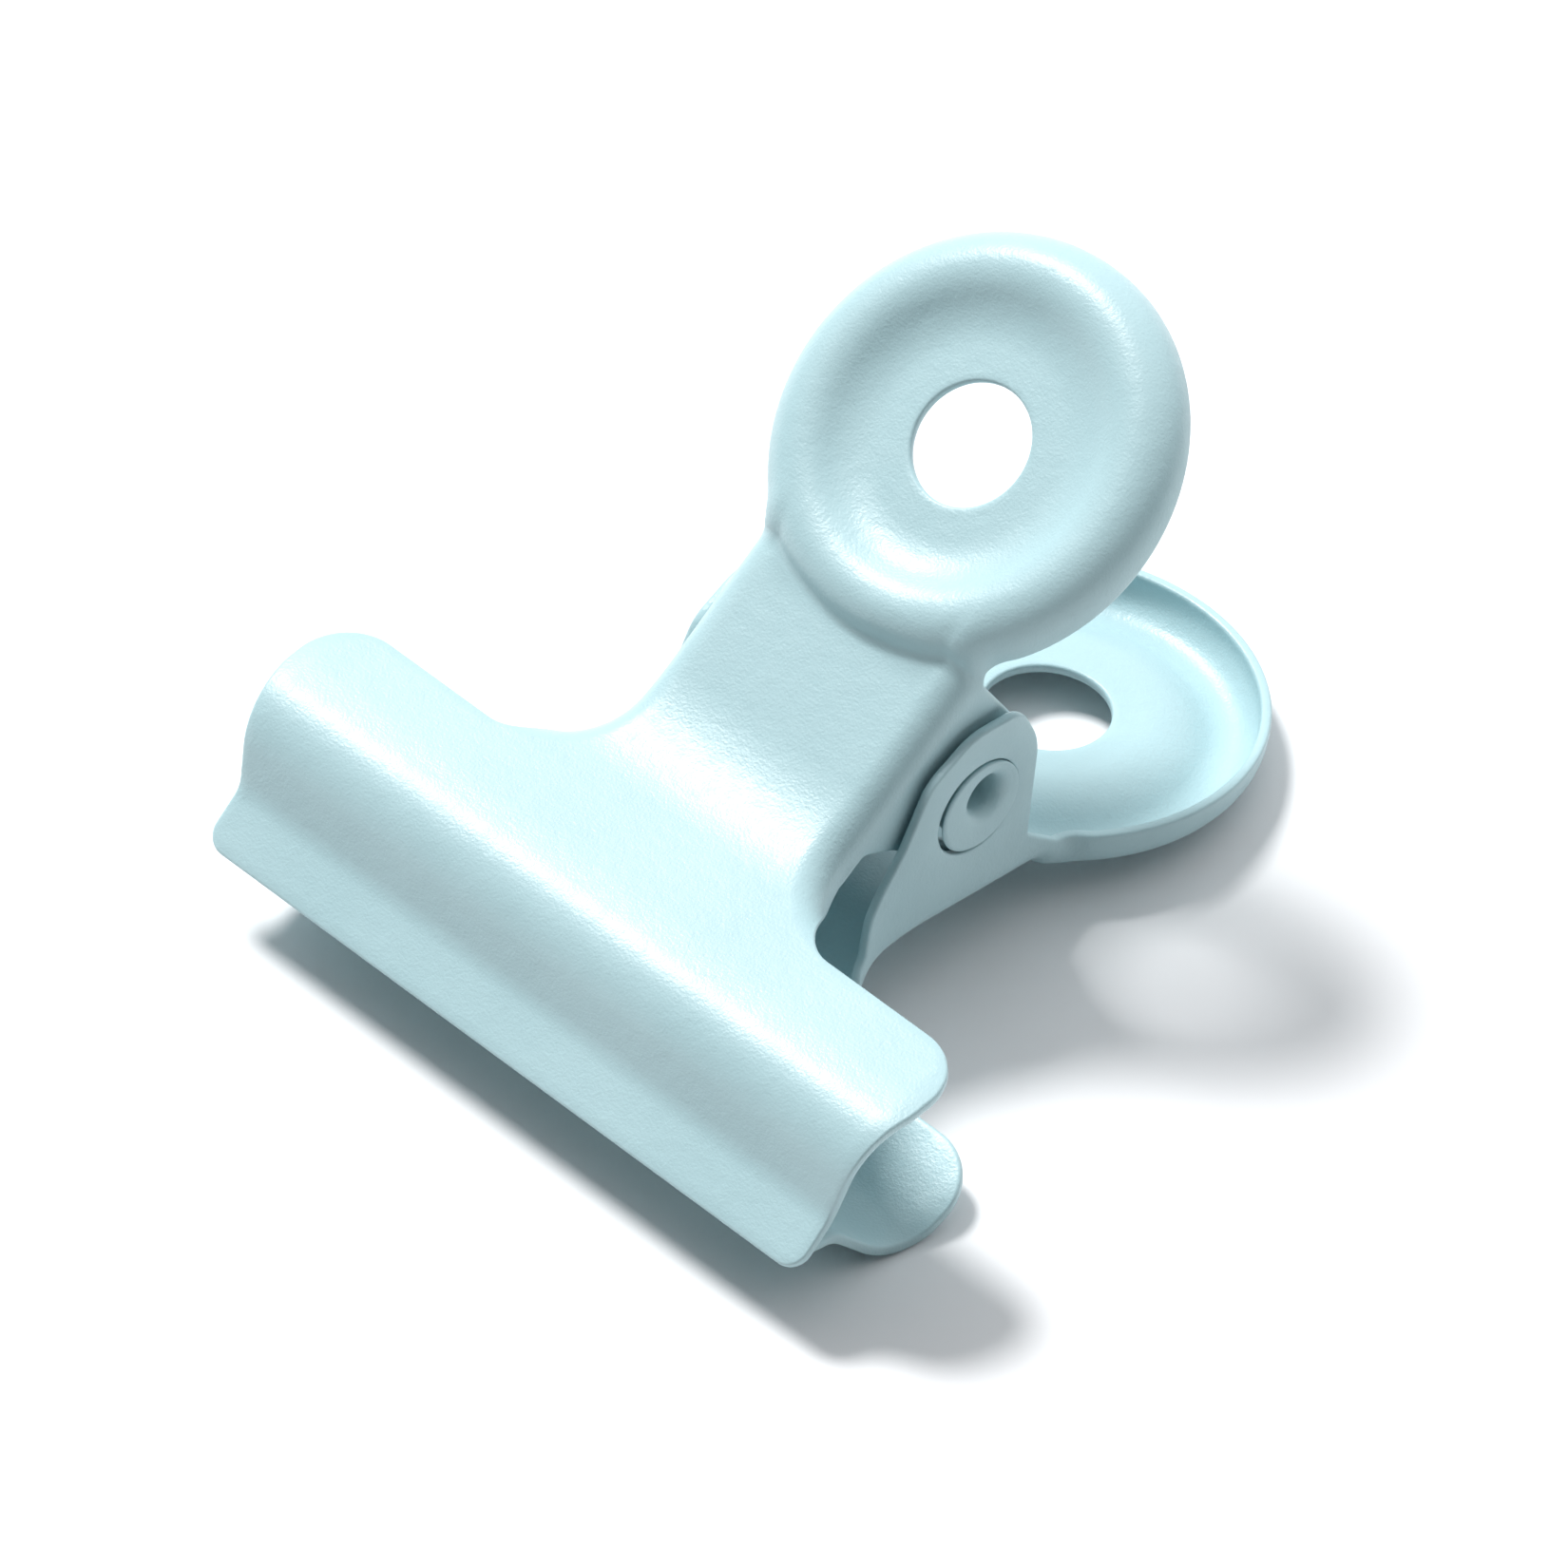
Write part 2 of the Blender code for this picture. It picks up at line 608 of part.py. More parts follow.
def main():
    clear_scene()
    parts = make_collection("bulldog_clip")
    cutters = make_collection("cutters")
    paint = make_material("pale_blue_paint", PAINT, 0.0, 0.38)
    steel = make_material("spring_steel", SPRING_STEEL, 1.0, 0.35)
    upper = Plate(UPPER_HALF_WIDTH, UPPER_JAW_HALF_WIDTH, 0.0, UPPER_EAR)
    lower = Plate(LOWER_HALF_WIDTH, LOWER_JAW_HALF_WIDTH, LOWER_JAW_SET_BACK, LOWER_EAR)
    tilt, pivot_height = rest_tilt(lower)
    base = make_object("clip_base", None, bpy.context.scene.collection, None)
    base.location = (0.0, 0.0, pivot_height)
    base.rotation_euler = (tilt, 0.0, 0.0)
    swing = make_object("hinge_axis", None, bpy.context.scene.collection, base)
    make_plate("lower_plate", lower, LOWER_PIVOT_HOLE, parts, cutters, base, paint, True)
    make_plate("upper_plate", upper, UPPER_PIVOT_HOLE, parts, cutters, swing, paint, False)
    make_hinge_tube(parts, base, paint)
    make_spring(parts, base, swing, steel)
    centre_on_ground(base, parts)


main()
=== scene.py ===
"""Detailed painted bulldog clip over its CAD frame, on a pale floor in soft studio light.

Each plate is built as the open outer face of its sheet and then given its thickness, with softly rounded cut
edges. Plates are drawn in clip coordinates, with the hinge at the origin: x across the jaws, y from the lips
towards the handles and z away from the middle plane. They are then turned and moved to their place in the CAD
frame.
"""

import json
import math

import bmesh
import bpy
from mathutils import Matrix, Vector
from mathutils.geometry import delaunay_2d_cdt


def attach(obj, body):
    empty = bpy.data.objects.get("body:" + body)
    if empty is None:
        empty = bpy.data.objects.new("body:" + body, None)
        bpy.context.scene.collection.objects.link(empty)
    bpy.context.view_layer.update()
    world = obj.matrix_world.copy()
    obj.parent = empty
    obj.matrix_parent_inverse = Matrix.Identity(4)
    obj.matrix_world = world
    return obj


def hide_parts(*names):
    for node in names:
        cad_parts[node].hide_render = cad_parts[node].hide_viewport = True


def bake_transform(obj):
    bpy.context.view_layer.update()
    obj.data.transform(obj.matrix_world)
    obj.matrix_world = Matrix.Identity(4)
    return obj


MM = 0.001
QUARTER_TURN = math.pi / 2
TINY = 1e-6

# Sheet and overall size
SHEET = 0.40 * MM
EDGE_ROUND = 0.12 * MM
UPPER_JAW_HALF_WIDTH = 16.1 * MM
LOWER_JAW_HALF_WIDTH = 15.15 * MM
LIP_NARROWING = 0.9 * MM
LOWER_JAW_SET_BACK = 0.45 * MM

# Side profile of a plate's outer face: corners (along, height) and the bend radius at each
LIP_TIP = (0.0 * MM, 0.44 * MM)
VALLEY = (2.15 * MM, 1.50 * MM)
BULGE = (3.93 * MM, 4.53 * MM)
CROWN = (6.60 * MM, 4.22 * MM)
VALLEY_BEND = 1.5 * MM
BULGE_BEND = 2.8 * MM
CROWN_BEND = 14.0 * MM
HANDLE_BEND = 9.0 * MM
CROWN_SLOPE = math.radians(-10.8)
HANDLE_SLOPE = math.radians(21.3)
HANDLE_HEIGHT_AT_EYE = 8.50 * MM
EYE_ALONG = 26.80 * MM
PAST_EYE = 12.0 * MM

# Jaw outline
JAW_REAR_ALONG = 9.25 * MM
JAW_WIDEST_ALONG = 6.15 * MM
LIP_CORNER = 0.9 * MM
REAR_CORNER = 2.3 * MM
JAW_SIDE_BEND = 3.0 * MM
JAW_NECK_FILLET = 4.3 * MM
FOLD_SHARE_OF_FILLET = 0.72

# Eye, measured from the face of the neck
EYE_HOLE_RADIUS = 2.38 * MM
FLOOR_RADIUS = 3.60 * MM
CREST_RADIUS = 6.58 * MM
RIM_BEND = 1.60 * MM
FLOOR_RISE = 0.20 * MM
CREST_RISE = 1.05 * MM
DISH_TOP = 1.90 * MM
DISH_FOOT = 3.40 * MM
RIM_FLANK_TOP = 1.30 * MM
RIM_FLANK_FOOT = 0.50 * MM
FLANK_SPREAD = 0.12
SPREAD_BEGIN = 1.5 * MM
RIM_EDGE_DROP = 0.95 * MM
RIM_NECK_FILLET = 3.4 * MM

# Pivot and its ears
PIVOT_ALONG = 18.95 * MM
UPPER_HALF_WIDTH = 5.48 * MM
LOWER_HALF_WIDTH = 6.15 * MM
NECK_BEND = 1.25 * MM
EAR_FRONT_DROP = 0.32 * MM
UPPER_EAR = [(-5.0, 2.0, 0.7), (-3.3, 0.5, 2.0), (-3.1, -3.4, 2.6), (2.7, -3.5, 1.8), (3.0, 1.5, 2.0),
             (2.0, 4.75, 0.4)]
LOWER_EAR = [(-5.9, 0.45, 1.5), (-3.6, -1.3, 2.5), (-1.8, -3.2, 1.8), (0.6, -3.65, 2.4), (2.9, -2.75, 1.2),
             (3.25, -0.6, 3.0), (1.62, 3.72, 0.4)]
EAR_SKEW = 0.15
UPPER_PIVOT_HOLE = 1.70 * MM
LOWER_PIVOT_HOLE = 2.00 * MM
HOLE_OFFSET = (-0.12 * MM, -0.09 * MM)

# Hollow rivet, its ends flared over the ears; the bore's mouth lies off its axis, as such rivets are struck
SHANK_RADIUS = 1.40 * MM
BORE_RADIUS = 0.78 * MM
MOUTH_OFFSET = (0.42 * MM, 0.10 * MM)
MOUTH_ROUND = 0.55 * MM
MOUTH_SUNK = 0.06 * MM
FLARE_RADIUS = 1.92 * MM
FLARE_FACE = 6.19 * MM
FLARE_DEPTH = 0.70 * MM
FLARE_RUN_OUT = 0.50 * MM
FLARE_LIP = 0.12 * MM

# Torsion spring on the rivet
WIRE = 0.80 * MM
COIL_RADIUS = 2.20 * MM
COIL_PITCH = 1.10 * MM
COIL_TURNS = 4.0
LEG_REACH = 6.5 * MM
SPRING_GAP = 0.30 * MM

# Fineness of the surfaces
TURN_STEP = math.radians(5.0)
STEP = 0.32 * MM
BEND_STEPS = 9
DROP_ROWS = 3
RIM_SEGMENTS = 72
HOLE_SEGMENTS = 64
RING_COUNT = 12
EDGE_STEPS = 6
TUBE_STEPS = 72
FLARE_STEPS = 8
LIP_STEPS = 4
WIRE_SIDES = 16
COIL_STEPS_PER_TURN = 36
LEG_STEPS = 8
CLEAR = 0.16 * MM
STEP_ALLOWANCE = 0.01
SEARCH_STEPS = 50
FLAT_FACE_WEIGHT = 70

# Colours
PAINT_DEEP = (0.410, 0.590, 0.625, 1.0)
PAINT_LIGHT = (0.440, 0.620, 0.655, 1.0)
SPECK = (0.08, 0.12, 0.14, 1.0)
STEEL_DARK = (0.40, 0.41, 0.43, 1.0)
STEEL_LIGHT = (0.56, 0.57, 0.59, 1.0)
FLOOR_WHITE = (0.88, 0.88, 0.89, 1.0)
SKY_TINT = (0.955, 0.98, 1.0, 1.0)

# Textures: cells per metre, the range that noise mostly keeps to, and the strength and height of each bump
PAINT_GRAIN = 9000.0
PAINT_PEEL = 1600.0
PAINT_CLOUDS = 160.0
DUST = 420.0
DRAW_MARKS = 2200.0
STEEL_CLOUDS = 500.0
PAPER_FIBRE = 2500.0
NOISE_RANGE = (0.3, 0.7)
DUST_SHARE = (0.955, 0.96)
DUST_SIZE = (0.020, 0.034)
PAINT_ROUGHNESS = (0.33, 0.41)
STEEL_ROUGHNESS = (0.22, 0.40)
FLOOR_ROUGHNESS = (0.75, 0.85)
GRAIN_SHARE = 0.8
MARK_STRETCH = (6.0, 1.0, 1.0)
PAINT_BUMP = (0.65, 0.03 * MM)
STEEL_BUMP = (0.25, 0.01 * MM)
FLOOR_BUMP = (0.10, 0.02 * MM)

# Camera and light
CAMERA_AIM = Vector((1.50, -5.29, 9.33)) * MM
CAMERA_DISTANCE = 1.0
CAMERA_AZIMUTH = math.radians(43.83)
CAMERA_ELEVATION = math.radians(44.30)
CAMERA_ROLL = math.radians(1.97)
VIEW_WIDTH = 56.5 * MM
SENSOR_WIDTH = 36.0
KEY_DIRECTION = Vector((-0.55, 0.02, 0.83))
KEY_STRENGTH = 3.7
KEY_ANGLE = math.radians(17.0)
SKY_AXIS = Vector((-0.20, 0.60, 0.78))
SKY_DARK_FROM = 0.1
SKY_LOW = 0.03
SKY_HIGH = 1.10
FLOOR_SIZE = 2.0
FLOOR_SUNK = 0.01 * MM


class Path:
    """Straight lines and arcs that follow on from each other, measured by the distance along them."""

    def __init__(self, start, heading):
        self.pieces = []
        self.length = 0.0
        self.end = (start[0], start[1], heading)

    def add(self, length, curvature=0.0):
        self.pieces.append((self.length, length, curvature, self.end))
        self.length += length
        self.end = self.at(self.length)

    def at(self, distance):
        """Place and heading at a distance along the path."""
        piece = self.pieces[0]
        for candidate in self.pieces:
            if candidate[0] <= distance:
                piece = candidate
        begun, _, curvature, (x, y, heading) = piece
        run = distance - begun
        if curvature == 0.0:
            return x + run * math.cos(heading), y + run * math.sin(heading), heading
        turned = heading + curvature * run
        x += (math.sin(turned) - math.sin(heading)) / curvature
        y -= (math.cos(turned) - math.cos(heading)) / curvature
        return x, y, turned

    def where(self, axis, value, low=0.0, high=None):
        """Distance between low and high at which a coordinate, which rises there, reaches a value."""
        high = self.length if high is None else high
        for _ in range(SEARCH_STEPS):
            middle = (low + high) / 2
            if self.at(middle)[axis] < value:
                low = middle
            else:
                high = middle
        return high

    def stations(self):
        """Distances that split every piece into short, equal steps."""
        found = [0.0]
        for begun, length, curvature, _ in self.pieces:
            steps = max(abs(curvature) * length / TURN_STEP, length / STEP)
            count = max(1, math.ceil(steps - STEP_ALLOWANCE))
            found += [begun + length * (i + 1) / count for i in range(count)]
        return found


def rounded_path(corners):
    """A path through (x, y, radius) corners, each rounded by an arc; the two ends are not rounded."""
    points = [Vector(corner[:2]) for corner in corners]
    start_way = points[1] - points[0]
    path = Path(points[0], math.atan2(start_way.y, start_way.x))
    used = 0.0
    for before, corner, after, (_, _, radius) in zip(points, points[1:], points[2:], corners[1:]):
        way_in = corner - before
        way_out = after - corner
        turn = -way_in.angle_signed(way_out)
        cut = radius * math.tan(abs(turn) / 2)
        straight = way_in.length - used - cut
        if straight < 0:
            raise ValueError(f"the bends at {before} and {corner} leave no room for each other")
        path.add(straight)
        path.add(radius * abs(turn), math.copysign(1 / radius, turn))
        used = cut
    path.add((points[-1] - points[-2]).length - used)
    return path


def smooth(value):
    value = min(1.0, max(0.0, value))
    return value * value * (3 - 2 * value)


def handle_meets_crown(crown):
    """Corner where the line falling from the crown meets the line of the handle."""
    fall = math.tan(CROWN_SLOPE)
    rise = math.tan(HANDLE_SLOPE)
    handle_at_zero = HANDLE_HEIGHT_AT_EYE - rise * EYE_ALONG
    along = (handle_at_zero - crown[1] + fall * crown[0]) / (fall - rise)
    return along, crown[1] + fall * (along - crown[0])


def side_profile(set_back):
    """Outer face of a plate, seen from the side; its jaw may sit a little nearer to the pivot."""
    crown = (CROWN[0] + set_back, CROWN[1])
    waist = handle_meets_crown(crown)
    far_end = (EYE_ALONG + PAST_EYE, HANDLE_HEIGHT_AT_EYE + PAST_EYE * math.tan(HANDLE_SLOPE))
    return rounded_path([
        (LIP_TIP[0] + set_back, LIP_TIP[1], 0.0),
        (VALLEY[0] + set_back, VALLEY[1], VALLEY_BEND),
        (BULGE[0] + set_back, BULGE[1], BULGE_BEND),
        (*crown, CROWN_BEND),
        (*waist, HANDLE_BEND),
        (*far_end, 0.0)])


def two_arcs(distance, height, top_radius, foot_radius):
    """Height left on a flank that falls away by a rounded top and a hollow foot."""
    turn = math.acos(1 - height / (top_radius + foot_radius))
    if distance < top_radius * math.sin(turn):
        return height - top_radius + math.sqrt(top_radius ** 2 - distance ** 2)
    short = max(0.0, (top_radius + foot_radius) * math.sin(turn) - distance)
    return foot_radius - math.sqrt(foot_radius ** 2 - short ** 2)


def flank_width():
    """How far the outer flank of the raised rim reaches from its crest."""
    radii = RIM_FLANK_TOP + RIM_FLANK_FOOT
    return radii * math.sin(math.acos(1 - CREST_RISE / radii))


class Plate:
    """The right half of one plate's outer face, in clip coordinates with its outer face up.

    Every free edge of this face stops short by the round of the sheet's cut edge, which is added afterwards.
    """

    def __init__(self, half_width, jaw_half_width, set_back, ear, pivot_hole):
        self.half_width = half_width
        self.neck_half_width = half_width - NECK_BEND
        self.jaw_half_width = jaw_half_width - EDGE_ROUND
        self.pivot_hole = pivot_hole + EDGE_ROUND
        self.profile = side_profile(set_back)
        self.eye = self.profile.where(0, EYE_ALONG)
        self.jaw_rear = self.profile.where(0, JAW_REAR_ALONG) - EDGE_ROUND
        self.outline_jaw(set_back)
        self.outline_handle()
        start = self.edge_point(self.neck_begin)
        end = self.edge_point(self.neck_end)
        corners = [(x * MM, z * MM, radius * MM) for x, z, radius in ear]
        ear = rounded_path([(start.y, start.z, 0.0), *corners, (end.y, end.z, 0.0)])
        inner = [inset(*ear.at(d)) for d in ear.stations()[1:-1]]
        self.ear_edge = self.match_ear([start.yz[:], *inner, end.yz[:]])

    def outline_jaw(self, set_back):
        """Blank outline from the middle of the lip to the straight side of the neck."""
        lip_half_width = self.jaw_half_width - LIP_NARROWING
        self.outline = rounded_path([
            (0.0, EDGE_ROUND, 0.0),
            (lip_half_width, EDGE_ROUND, LIP_CORNER - EDGE_ROUND),
            (lip_half_width, self.profile.where(0, VALLEY[0] + set_back), JAW_SIDE_BEND),
            (self.jaw_half_width, self.profile.where(0, JAW_WIDEST_ALONG), JAW_SIDE_BEND),
            (self.jaw_half_width, self.jaw_rear, REAR_CORNER - EDGE_ROUND),
            (self.neck_half_width, self.jaw_rear, JAW_NECK_FILLET + EDGE_ROUND),
            (self.neck_half_width, self.fillet_centre()[1], 0.0)])
        begins = [piece[0] for piece in self.outline.pieces]
        lip_corner_end, rear_corner, fillet, neck = begins[2], begins[7], begins[9], begins[10]
        self.jaw_side = (lip_corner_end, rear_corner)
        self.fold_begin = fillet
        self.neck_begin = fillet + (neck - fillet) * FOLD_SHARE_OF_FILLET
        self.neck_end = self.outline.length

    def match_ear(self, places):
        """Place on the side of the neck from which each point of the ear's edge hangs."""
        travelled = [0.0]
        for (y, z), (next_y, next_z) in zip(places, places[1:]):
            travelled.append(travelled[-1] + abs(next_y - y) + EAR_SKEW * abs(next_z - z))
        stretch = (self.neck_end - self.neck_begin) / travelled[-1]
        return {self.neck_begin + t * stretch: place for t, place in zip(travelled, places)}

    def fillet_centre(self):
        """Centre of the arc that joins the side of the neck to the circle of the rim's crest."""
        x = self.neck_half_width + RIM_NECK_FILLET
        reach = CREST_RADIUS + RIM_NECK_FILLET
        return x, self.eye - math.sqrt(reach * reach - x * x)

    def outline_handle(self):
        x, y = self.fillet_centre()
        turn = math.atan2(self.eye - y, x)
        self.outline.add(RIM_NECK_FILLET * turn, -1 / RIM_NECK_FILLET)
        self.rim_begin = self.outline.length
        self.outline.add(CREST_RADIUS * (math.pi / 2 + turn), 1 / CREST_RADIUS)

    def rise(self, x, y):
        """Height of the embossed eye above the plate's plain bent face."""
        radius = math.hypot(x, y - self.eye)
        if radius > CREST_RADIUS:
            spread = 1 + FLANK_SPREAD * smooth((x - SPREAD_BEGIN) / (self.neck_half_width - SPREAD_BEGIN))
            return two_arcs((radius - CREST_RADIUS) / spread, CREST_RISE, RIM_FLANK_TOP, RIM_FLANK_FOOT)
        depth = CREST_RISE - FLOOR_RISE
        return FLOOR_RISE + two_arcs(CREST_RADIUS - radius, depth, DISH_TOP, DISH_FOOT)

    def face_frame(self, y):
        """Place of the plain face, its direction along the profile and its outward normal."""
        along, height, slope = self.profile.at(y)
        place = Vector((0.0, along - PIVOT_ALONG, height))
        forward = Vector((0.0, math.cos(slope), math.sin(slope)))
        normal = Vector((0.0, -math.sin(slope), math.cos(slope)))
        return place, forward, normal

    def face_point(self, x, y):
        place, _, normal = self.face_frame(y)
        return place + Vector((x, 0.0, 0.0)) + normal * self.rise(x, y)

    def fold(self, distance):
        """How far the edge is turned down at a place on the outline: angle, radius and straight drop."""
        share = smooth((distance - self.fold_begin) / (self.neck_begin - self.fold_begin))
        if distance < self.neck_end:
            return QUARTER_TURN * share, NECK_BEND, (EAR_FRONT_DROP - EDGE_ROUND) * share
        turn = smooth((distance - self.neck_end) / (self.rim_begin - self.neck_end))
        radius = NECK_BEND + (RIM_BEND - NECK_BEND) * turn
        x, y, _ = self.outline.at(distance)
        return QUARTER_TURN, radius, self.rise(x, y) - radius + RIM_EDGE_DROP - EDGE_ROUND

    def folded(self, distance, turned, dropped):
        """Point on the turned-down edge after part of the bend and part of the straight drop."""
        x, y, heading = self.outline.at(distance)
        _, forward, normal = self.face_frame(y)
        outward = Vector((math.sin(heading), 0.0, 0.0)) - forward * math.cos(heading)
        angle, radius, drop = self.fold(distance)
        angle *= turned
        place = self.face_point(x, y) + (outward * math.sin(angle) - normal * (1 - math.cos(angle))) * radius
        return place + (outward * math.cos(angle) - normal * math.sin(angle)) * drop * dropped

    def edge_point(self, distance):
        return self.folded(distance, 1.0, 1.0)

    def strip(self, distance):
        """Points from the outline down to the free edge, at one place on the outline."""
        points = [self.folded(distance, (k + 1) / BEND_STEPS, 0.0) for k in range(BEND_STEPS)]
        free = self.edge_point(distance)
        if distance in self.ear_edge:
            free = Vector((points[-1].x, *self.ear_edge[distance]))
        return points + [points[-1].lerp(free, (k + 1) / DROP_ROWS) for k in range(DROP_ROWS)]

    def row_places(self):
        """Distances along the profile at which rows of points run straight across the face."""
        neck = [self.outline.at(d)[1] for d in self.ear_edge]
        rim_foot = self.eye - CREST_RADIUS - flank_width()
        bends = [y for y in self.profile.stations() if EDGE_ROUND + CLEAR < y < neck[0]]
        return bends + thinned([y for y in neck if bends[-1] + CLEAR < y < rim_foot - CLEAR], CLEAR)

    def outline_distances(self):
        """Places of the outline's points; the sides of the jaw have one at each row of the face."""
        side_begin, side_end = self.jaw_side
        on_side = [self.outline.where(1, y, side_begin, side_end) for y in self.row_places()
                   if self.outline.at(side_begin)[1] < y < self.outline.at(side_end)[1]]
        steps = [d for d in self.outline.stations()
                 if not side_begin < d < side_end and not self.neck_begin - TINY < d < self.neck_end + TINY]
        return sorted(steps + on_side + list(self.ear_edge))

    def rows(self):
        """Rows of points on the face: straight rows across it, and rings round the eye."""
        rows = []
        for y in self.row_places():
            reach = self.jaw_half_width - LIP_NARROWING if y < self.jaw_rear - CLEAR else self.neck_half_width
            count = math.ceil(reach / STEP)
            rows.append([(reach * i / count, y) for i in range(count + 1)])
        bands = [EYE_HOLE_RADIUS, FLOOR_RADIUS, CREST_RADIUS, CREST_RADIUS + flank_width()]
        radii = [begin + (end - begin) * (k + 1) / RING_COUNT
                 for begin, end in zip(bands, bands[1:]) for k in range(RING_COUNT)]
        return rows + [self.ring(radius) for radius in radii]

    def ring(self, radius):
        """Half circle round the eye, from its near side to its far side."""
        turns = [math.pi * i / RIM_SEGMENTS for i in range(1, RIM_SEGMENTS)]
        side = [(radius * math.sin(t), self.eye - radius * math.cos(t)) for t in turns]
        return [(0.0, self.eye - radius), *side, (0.0, self.eye + radius)]

    def blank(self):
        """The flat blank cut into triangles: its points, its faces and where the outline's points went."""
        outline = [(max(0.0, x), y) for x, y, _ in map(self.outline.at, self.outline_distances())]
        outline[-1] = (0.0, outline[-1][1])
        hole = self.ring(EYE_HOLE_RADIUS + EDGE_ROUND)[::-1]
        rows = self.rows()
        middle = sorted({y for row in rows for x, y in row if x == 0.0}, reverse=True)
        far = [(0.0, y) for y in middle if hole[0][1] < y < outline[-1][1] - CLEAR]
        near = [(0.0, y) for y in middle if EDGE_ROUND + CLEAR < y < hole[-1][1]]
        border = outline + far + hole + near
        places = {point: i for i, point in enumerate(border)}
        inside = Inside(border)
        for row in rows:
            for point in row:
                if point not in places and inside.clear(point):
                    places[point] = len(places)
        points, faces, where = triangulated(list(places), [range(len(border))])
        return points, faces, [where[i] for i in range(len(outline))]

    def face(self):
        """The half plate as an open surface with its edges turned down, open along the middle."""
        points, faces, outline = self.blank()
        shape = bmesh.new()
        verts = [shape.verts.new(self.face_point(*point)) for point in points]
        for face in faces:
            shape.faces.new([verts[i] for i in face])
        before = None
        ear = []
        for distance, i in zip(self.outline_distances(), outline):
            if distance < self.fold_begin:
                continue
            if before is None:
                before = [verts[i]] * (1 + BEND_STEPS + DROP_ROWS)
                continue
            column = [verts[i]] + [shape.verts.new(place) for place in self.strip(distance)]
            in_ear = self.neck_begin < distance < self.neck_end + TINY
            bent = BEND_STEPS + 1 if in_ear else len(column)
            for a, b, c, d in list(zip(before, column, column[1:], before[1:]))[:bent - 1]:
                shape.faces.new([a, d, c, b] if a is not d else [a, c, b])
            if in_ear:
                ear += [] if ear else [before[BEND_STEPS:]]
                ear.append(column[BEND_STEPS:])
            before = column
        for vert in column:
            vert.co.x = 0.0
        self.fill_ear(shape, ear)
        return shape

    def fill_ear(self, shape, columns):
        """The flat side of the ear, between the neck's bend and the free edge, with its pivot hole."""
        border = [column[0] for column in columns] + columns[-1][1:]
        border += [column[-1] for column in columns[-2::-1]] + columns[0][-2:0:-1]
        ring = []
        for i in range(HOLE_SEGMENTS):
            turn = math.tau * i / HOLE_SEGMENTS
            y = HOLE_OFFSET[0] + self.pivot_hole * math.cos(turn)
            z = HOLE_OFFSET[1] + self.pivot_hole * math.sin(turn)
            ring.append(shape.verts.new((self.half_width, y, z)))
        inner = [vert for column in columns[1:-1] for vert in column[1:-1]]
        inside = Inside([vert.co.yz[:] for vert in border])
        kept = [vert for vert in inner if inside.clear(vert.co.yz)
                and math.dist(vert.co.yz, HOLE_OFFSET) > self.pivot_hole + 2 * CLEAR]
        verts = border + ring + kept
        loops = [range(len(border)), range(len(border), len(border) + len(ring))]
        points, faces, where = triangulated([(vert.co.y, vert.co.z) for vert in verts], loops)
        back = {found: vert for vert, found in zip(verts, where)}
        for face in faces:
            middle = sum((points[i] for i in face), Vector((0.0, 0.0))) / 3
            if math.dist(middle, HOLE_OFFSET) > self.pivot_hole:
                shape.faces.new([back[i] for i in face])
        for vert in set(inner) - set(kept):
            shape.verts.remove(vert)


class Inside:
    """Tells whether points lie inside a closed border and well clear of it."""

    def __init__(self, border):
        self.sides = list(zip(border, border[1:] + border[:1]))

    def clear(self, point):
        x, y = point
        inside = False
        for (ax, ay), (bx, by) in self.sides:
            if (ay > y) != (by > y) and x < ax + (bx - ax) * (y - ay) / (by - ay):
                inside = not inside
            if min(abs(ax - x), abs(bx - x)) > 2 * STEP or min(abs(ay - y), abs(by - y)) > 2 * STEP:
                continue
            span = (bx - ax) ** 2 + (by - ay) ** 2
            share = min(1.0, max(0.0, ((x - ax) * (bx - ax) + (y - ay) * (by - ay)) / span))
            if math.dist(point, (ax + share * (bx - ax), ay + share * (by - ay))) < CLEAR:
                return False
        return inside


def triangulated(points, loops):
    """Triangles between closed loops of points and the points inside them, and where each point went."""
    flat = [Vector(point) / MM for point in points]
    found, _, faces, origin, _, _ = delaunay_2d_cdt(flat, [], [list(loop) for loop in loops], 1, TINY)
    where = {source: i for i, sources in enumerate(origin) for source in sources}
    return [v * MM for v in found], faces, [where[i] for i in range(len(points))]


def inset(y, z, heading):
    """A point on the ear's outline moved inwards by the round of the cut edge."""
    return y - EDGE_ROUND * math.sin(heading), z + EDGE_ROUND * math.cos(heading)


def thinned(values, gap):
    """Values in order, without those closer than a gap to the one before."""
    kept = []
    for value in sorted(values):
        if not kept or value - kept[-1] > gap:
            kept.append(value)
    return kept


